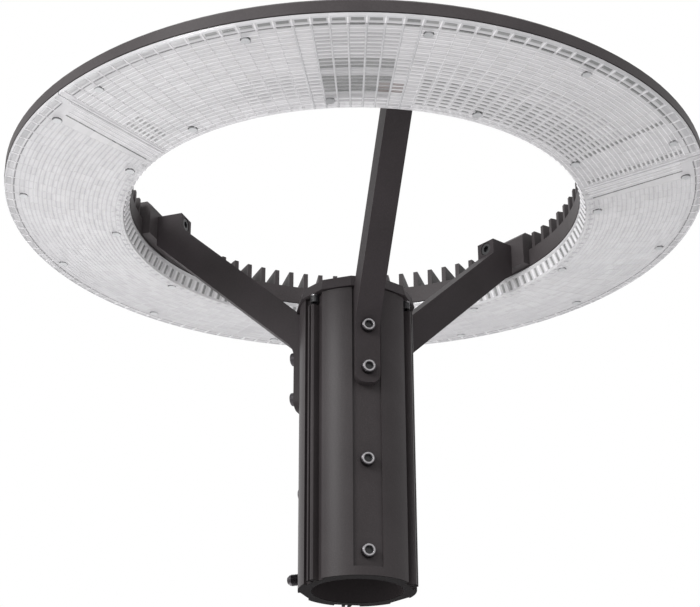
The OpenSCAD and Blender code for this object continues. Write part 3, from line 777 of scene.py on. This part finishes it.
def outwards(side, z):
    """A matrix that points X outwards from the collar's axis at a height."""
    turn = math.radians(ARM_ANGLES[side] + FRONT_HEADING)
    return Matrix.Translation((0, 0, z)) @ Matrix.Rotation(turn, 4, "Z")


print("points round a turned piece:", SEGMENTS)

# %% Outline of the socket-head screws of the feet and the collar
foot_low, foot_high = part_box("foot_screws_front")
HEAD_R = (foot_high.x - foot_low.x) / 2
HEAD_HEIGHT = 6 * MM
SHANK_R = 4 * MM
KEY = 3 * MM  # half of the key's width across its flats


def screw_outline(tip, face):
    """From the shank's tip out to the head's face and down into its key socket."""
    seat = face - HEAD_HEIGHT
    return [(tip, 0), (tip, SHANK_R), (seat, SHANK_R), (seat, HEAD_R - 0.3 * MM),
            (seat + 0.4 * MM, HEAD_R, "knurled"), (face - 1.2 * MM, HEAD_R, "knurled"),
            (face - 0.5 * MM, HEAD_R - 0.25 * MM), (face, HEAD_R - 0.9 * MM),
            (face, KEY + 0.45 * MM), (face - 0.4 * MM, KEY, "hexagon"),
            (face - 3 * MM, KEY, "hexagon"), (face - 3 * MM, 0)]


print("screw head radius", round(HEAD_R / MM, 2), "mm")

# %% The screws in place of their plain solids
screw_places = []
for group in ("foot_screws", "tenon_screws"):
    front_low, front_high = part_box(f"{group}_front")
    face, tip = -front_low.y, -front_high.y
    for side in SIDES:
        low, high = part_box(f"{group}_{side}")
        heights = [high.z - HEAD_R]
        if not (group == "tenon_screws" and side == "left"):
            heights.append(low.z + HEAD_R)
        places = [(face, outwards(side, z)) for z in heights]
        screw_places += places
        # Each screw is the steel with painted shade; its bright face ring is a separate piece.
        keep(turned_piece(f"{group}_turned_{side}",
                          [(screw_outline(tip, face), move) for face, move in places],
                          SHADED_STEEL),
             "stainless_steel", f"{group}_{side}")

# %% Painted highlight: the bright face round each key socket; painted shade: the dark inside of the socket
SKIN = 0.05 * MM
screw_faces = turned_piece("screw_faces", [
    ([(face, KEY + 0.75 * MM), (face + SKIN, KEY + 0.85 * MM),
      (face + SKIN, HEAD_R - 1.1 * MM), (face, HEAD_R - 0.95 * MM),
      (face, KEY + 0.75 * MM)], move) for face, move in screw_places], STEEL_HIGHLIGHT)
keep(screw_faces, "stainless_steel")
socket_shade = turned_piece("socket_liners", [
    ([(face - 2.95 * MM, 0), (face - 2.95 * MM, KEY - 0.02 * MM, "hexagon"),
      (face - 0.45 * MM, KEY - 0.02 * MM, "hexagon"),
      (face - 0.45 * MM, KEY - 0.12 * MM, "hexagon"),
      (face - 2.85 * MM, KEY - 0.12 * MM, "hexagon"), (face - 2.85 * MM, 0)], move)
    for face, move in screw_places], BLACK_STEEL_AND_SHADE)
keep(socket_shade, "blackened_steel")

# %% The long set screw low on the left, with its thread
STUD_R, STUD_KEY = 5 * MM, 1.6 * MM
THREAD_STEP, THREAD_DEPTH, THREAD_TURNS = 1.5 * MM, 0.6 * MM, 13
stud_tip = 38.95 * MM  # 0.2 mm outside the bore, so a pole still slides in
stud_end = stud_tip + 23.2 * MM
stud_outline = [(stud_tip, 0), (stud_tip, STUD_R - THREAD_DEPTH)]
for turn in range(THREAD_TURNS):
    start = stud_tip + 0.4 * MM + turn * THREAD_STEP
    stud_outline += [(start, STUD_R - THREAD_DEPTH), (start + THREAD_STEP / 2, STUD_R)]
stud_outline += [(stud_end - 2 * MM, STUD_R - 0.5 * MM), (stud_end, STUD_R - 2 * MM),
                 (stud_end, 2.0 * MM), (stud_end - 0.2 * MM, STUD_KEY, "hexagon"),
                 (stud_end - 4 * MM, STUD_KEY, "hexagon"), (stud_end - 4 * MM, 0)]
stud_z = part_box("tenon_screws_left")[0].z + STUD_R
# The stud is the steel with painted shade as well.
stud = turned_piece("set_screw_turned", [(stud_outline, outwards("left", stud_z))],
                    SHADED_STEEL)
keep(stud, "stainless_steel")

# %% [markdown]
# ## Sealing rings and diodes
# A black ring seals each lens screw, and rows of diodes sit on the LED
# boards, where they show faintly through the lens. Each could be placed by
# hand, but both repeat at even angles, so the polar grid lays them out.

# %% Sealing rings round the lens screws
down = Matrix.Rotation(math.radians(90), 4, "Y")
SEAL = [(-0.5 * MM, 3.8 * MM), (-0.5 * MM, 4.2 * MM), (0.2 * MM, 4.15 * MM),
        (0.2 * MM, 3.85 * MM), (-0.5 * MM, 3.8 * MM)]


def cells_to(degrees):
    """Cells from a segment's first rib to an angle from the segment's middle."""
    return (degrees + SEGMENT / 2) / RIB_STEP - 0.5


for kind, radius, first, step, count in (
        ("inner_seals", FACE_IN_R + 9.5 * MM, -48, 32, 4),
        ("outer_seals", FACE_OUT_R - 9.5 * MM, -54, 27, 5)):
    mould(kind, turned_piece(kind + "_pattern", [(SEAL, down)], SILICONE), SIDES, SILICONE,
          slot="gasket_rubber", copies=count, radius=radius, angle_step=math.radians(step),
          cell=cells_to(first))

# %% Diodes on the LED boards
BOARD_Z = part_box("led_boards_front")[0].z
DIODE_STEP = 5.2  # degrees
DIODE_OUTLINE = [(-0.1 * MM, 0), (-0.1 * MM, 2.6 * MM), (0.5 * MM, 2.6 * MM),
                 (0.9 * MM, 1.8 * MM), (1.1 * MM, 0)]
for kind, first, count in (("diodes_short", -53, 7), ("diodes_long", 0, 11)):
    mould(kind, turned_piece(kind + "_pattern", [(DIODE_OUTLINE, down)], DIODE), SIDES, DIODE,
          slot="board_white", rows=4, copies=count, radius=OPENING_R + 28 * MM,
          row_step=17 * MM, height_step=0.0, height=BOARD_Z, tilt=0.0,
          angle_step=math.radians(DIODE_STEP), cell=cells_to(first))

# %% [markdown]
# ## The studio
# The lamp head hangs in a plain pale studio. A modelled room would take long
# to light evenly, so the world itself is pale, and square lamps stand in for
# softboxes. The key lamp high on the left draws the bright stripe down the
# collar, a weak one fills in the front, and one from below lights the lens,
# as light thrown back by the street does. Two more brighten the floor behind.
# The floor lies well below, so that the lamp can be looked at from
# underneath, and it is so wide that no edge of it shows.

# %% World
world = bpy.data.worlds.new("studio")
bpy.context.scene.world = world
world.use_nodes = True
sky = world.node_tree
sky.nodes.clear()
ray = add(sky, "ShaderNodeLightPath")
seen = add(sky, "ShaderNodeMath", {0: ray.outputs["Is Camera Ray"],
                                   1: ray.outputs["Is Transmission Ray"]}, operation="MAXIMUM")
seen = add(sky, "ShaderNodeMath", {0: seen.outputs[0], 1: ray.outputs["Is Glossy Ray"]},
           operation="MAXIMUM")
# White where the world is seen or mirrored, a little weaker where it only lights.
strength = add(sky, "ShaderNodeMapRange",
               {"Value": seen.outputs[0], "To Min": 0.8, "To Max": 1.0})
background = add(sky, "ShaderNodeBackground",
                 {"Color": (1, 1, 1, 1), "Strength": strength.outputs["Result"]})
add(sky, "ShaderNodeOutputWorld", {"Surface": background.outputs[0]})
print("world nodes:", len(sky.nodes))

# %% Floor
FLOOR_Z, FLOOR_SIZE = -1.6, 120
bpy.ops.mesh.primitive_plane_add(size=FLOOR_SIZE, location=(0, 0, FLOOR_Z))
floor = bpy.context.object
floor.name = "studio_floor"
# Matt floor paint: one pale tone, with soft patches 40 mm across that hardly show.
floor.data.materials.append(speckled("pale_floor", "#e8e7e8", "#eeedee", 0.8, 40.0, 0.1))
print("floor at", FLOOR_Z)

# %% Lamps


def lamp(name, place, target, size, power):
    """A soft square lamp that faces a target."""
    data = bpy.data.lights.new(name, "AREA")
    data.size, data.energy = size, power
    made = bpy.data.objects.new(name, data)
    bpy.context.scene.collection.objects.link(made)
    made.location = place
    made.rotation_euler = (Vector(target) - Vector(place)).to_track_quat("-Z", "Y").to_euler()
    print(name, size, "m", power, "W")


LAMP_HEAD = (0, 0, 0.2)
lamp("key_lamp", (-1.9, -1.25, 1.15), LAMP_HEAD, 0.9, 38)
lamp("front_fill", (-1.2, -2.3, 1.1), LAMP_HEAD, 1.2, 9)
lamp("street_bounce", (-0.85, 0.75, -1.1), (0, 0.1, 0.35), 1.1, 13)
lamp("far_floor_wash", (0.9, 5.2, -0.4), (0.9, 5.3, FLOOR_Z), 3.0, 70)
lamp("left_floor_wash", (-1.1, 2.5, -0.8), (-1.1, 2.6, FLOOR_Z), 1.2, 12)

# %% Plain view settings
bpy.context.scene.view_settings.view_transform = "Standard"
